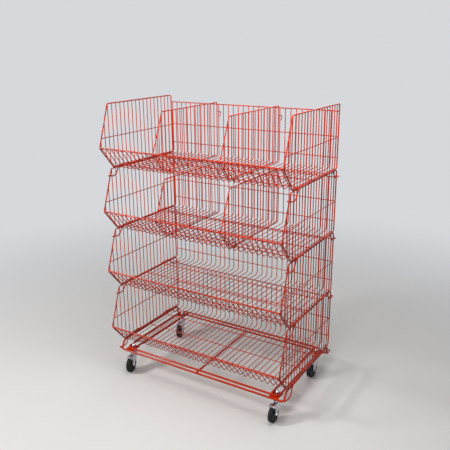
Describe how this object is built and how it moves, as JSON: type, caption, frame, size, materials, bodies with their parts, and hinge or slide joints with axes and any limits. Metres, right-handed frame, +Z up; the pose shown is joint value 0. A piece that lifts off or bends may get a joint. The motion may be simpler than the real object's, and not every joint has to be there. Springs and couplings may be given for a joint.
{
  "type": "retail dump bin",
  "caption": "Stacking wire dump bin: leaning-front baskets hooked one above the other on a castered dolly, with lift-out wire dividers in the upper ones.",
  "frame": {"origin": "on the floor, below the middle of the bounding box", "axes": "+Z up, +X to the right of someone facing the open front, +Y towards the back"},
  "size_m": [0.9466, 0.5746, 1.3577],
  "materials": {
    "red_powder_coat": "glossy red powder coat",
    "zinc": "bright zinc plate",
    "wheel_hub": "black moulded plastic",
    "tyre": "black rubber"
  },
  "bodies": {
    "dolly": {"dolly_outer_ring": "red_powder_coat", "dolly_inner_ring": "red_powder_coat", "dolly_inner_bars": "red_powder_coat", "dolly_centre_bar": "red_powder_coat", "caster_plates": "red_powder_coat", "caster_stems": "zinc", "stem_nuts": "zinc"},
    "caster_front_left": {"fork_front_left": "zinc", "axle_front_left": "zinc"},
    "wheel_front_left": {"hub_front_left": "wheel_hub", "tyre_front_left": "tyre"},
    "caster_front_right": {"fork_front_right": "zinc", "axle_front_right": "zinc"},
    "wheel_front_right": {"hub_front_right": "wheel_hub", "tyre_front_right": "tyre"},
    "caster_rear_left": {"fork_rear_left": "zinc", "axle_rear_left": "zinc"},
    "wheel_rear_left": {"hub_rear_left": "wheel_hub", "tyre_rear_left": "tyre"},
    "caster_rear_right": {"fork_rear_right": "zinc", "axle_rear_right": "zinc"},
    "wheel_rear_right": {"hub_rear_right": "wheel_hub", "tyre_rear_right": "tyre"},
    "basket_1": {"basket_1_long_wires": "red_powder_coat", "basket_1_cross_wires": "red_powder_coat", "basket_1_front_rail": "red_powder_coat", "basket_1_back_rail": "red_powder_coat", "basket_1_left_side": "red_powder_coat", "basket_1_right_side": "red_powder_coat", "basket_1_feet": "red_powder_coat"},
    "basket_2": {"basket_2_long_wires": "red_powder_coat", "basket_2_cross_wires": "red_powder_coat", "basket_2_front_rail": "red_powder_coat", "basket_2_back_rail": "red_powder_coat", "basket_2_left_side": "red_powder_coat", "basket_2_right_side": "red_powder_coat", "basket_2_feet": "red_powder_coat"},
    "basket_3": {"basket_3_long_wires": "red_powder_coat", "basket_3_cross_wires": "red_powder_coat", "basket_3_front_rail": "red_powder_coat", "basket_3_back_rail": "red_powder_coat", "basket_3_left_side": "red_powder_coat", "basket_3_right_side": "red_powder_coat", "basket_3_feet": "red_powder_coat"},
    "basket_4": {"basket_4_long_wires": "red_powder_coat", "basket_4_cross_wires": "red_powder_coat", "basket_4_front_rail": "red_powder_coat", "basket_4_back_rail": "red_powder_coat", "basket_4_left_side": "red_powder_coat", "basket_4_right_side": "red_powder_coat", "basket_4_feet": "red_powder_coat"},
    "divider_3_left": {"divider_3_left": "red_powder_coat"},
    "divider_3_right": {"divider_3_right": "red_powder_coat"},
    "divider_4_left": {"divider_4_left": "red_powder_coat"},
    "divider_4_right": {"divider_4_right": "red_powder_coat"}
  },
  "joints": [
    {"name": "swivel_front_left", "type": "hinge", "parent": "dolly", "child": "caster_front_left", "pos_m": [-0.413, -0.19475, 0.1], "axis": [0, 0, 1], "continuous": true},
    {"name": "spin_front_left", "type": "hinge", "parent": "caster_front_left", "child": "wheel_front_left", "pos_m": [-0.40381, -0.23162, 0.0425], "axis": [0.9703, 0.2419, 0], "continuous": true},
    {"name": "swivel_front_right", "type": "hinge", "parent": "dolly", "child": "caster_front_right", "pos_m": [0.413, -0.19475, 0.1], "axis": [0, 0, 1], "continuous": true},
    {"name": "spin_front_right", "type": "hinge", "parent": "caster_front_right", "child": "wheel_front_right", "pos_m": [0.41433, -0.23273, 0.0425], "axis": [0.9994, 0.0349, 0], "continuous": true},
    {"name": "swivel_rear_left", "type": "hinge", "parent": "dolly", "child": "caster_rear_left", "pos_m": [-0.413, 0.23425, 0.1], "axis": [0, 0, 1], "continuous": true},
    {"name": "spin_rear_left", "type": "hinge", "parent": "caster_rear_left", "child": "wheel_rear_left", "pos_m": [-0.40316, 0.19754, 0.0425], "axis": [0.9659, 0.2588, 0], "continuous": true},
    {"name": "swivel_rear_right", "type": "hinge", "parent": "dolly", "child": "caster_rear_right", "pos_m": [0.413, 0.23425, 0.1], "axis": [0, 0, 1], "continuous": true},
    {"name": "spin_rear_right", "type": "hinge", "parent": "caster_rear_right", "child": "wheel_rear_right", "pos_m": [0.41101, 0.1963, 0.0425], "axis": [0.9986, -0.0523, 0], "continuous": true},
    {"name": "lift_basket_1", "type": "slide", "parent": "dolly", "child": "basket_1", "axis": [0, 0, 1], "range_m": [0, 0.1]},
    {"name": "lift_basket_2", "type": "slide", "parent": "basket_1", "child": "basket_2", "axis": [0, 0, 1], "range_m": [0, 0.1]},
    {"name": "lift_basket_3", "type": "slide", "parent": "basket_2", "child": "basket_3", "axis": [0, 0, 1], "range_m": [0, 0.1]},
    {"name": "lift_basket_4", "type": "slide", "parent": "basket_3", "child": "basket_4", "axis": [0, 0, 1], "range_m": [0, 0.1]},
    {"name": "lift_divider_3_left", "type": "slide", "parent": "basket_3", "child": "divider_3_left", "axis": [0, 0, 1], "range_m": [0, 0.015]},
    {"name": "lift_divider_3_right", "type": "slide", "parent": "basket_3", "child": "divider_3_right", "axis": [0, 0, 1], "range_m": [0, 0.015]},
    {"name": "lift_divider_4_left", "type": "slide", "parent": "basket_4", "child": "divider_4_left", "axis": [0, 0, 1], "range_m": [0, 0.015]},
    {"name": "lift_divider_4_right", "type": "slide", "parent": "basket_4", "child": "divider_4_right", "axis": [0, 0, 1], "range_m": [0, 0.015]}
  ]
}
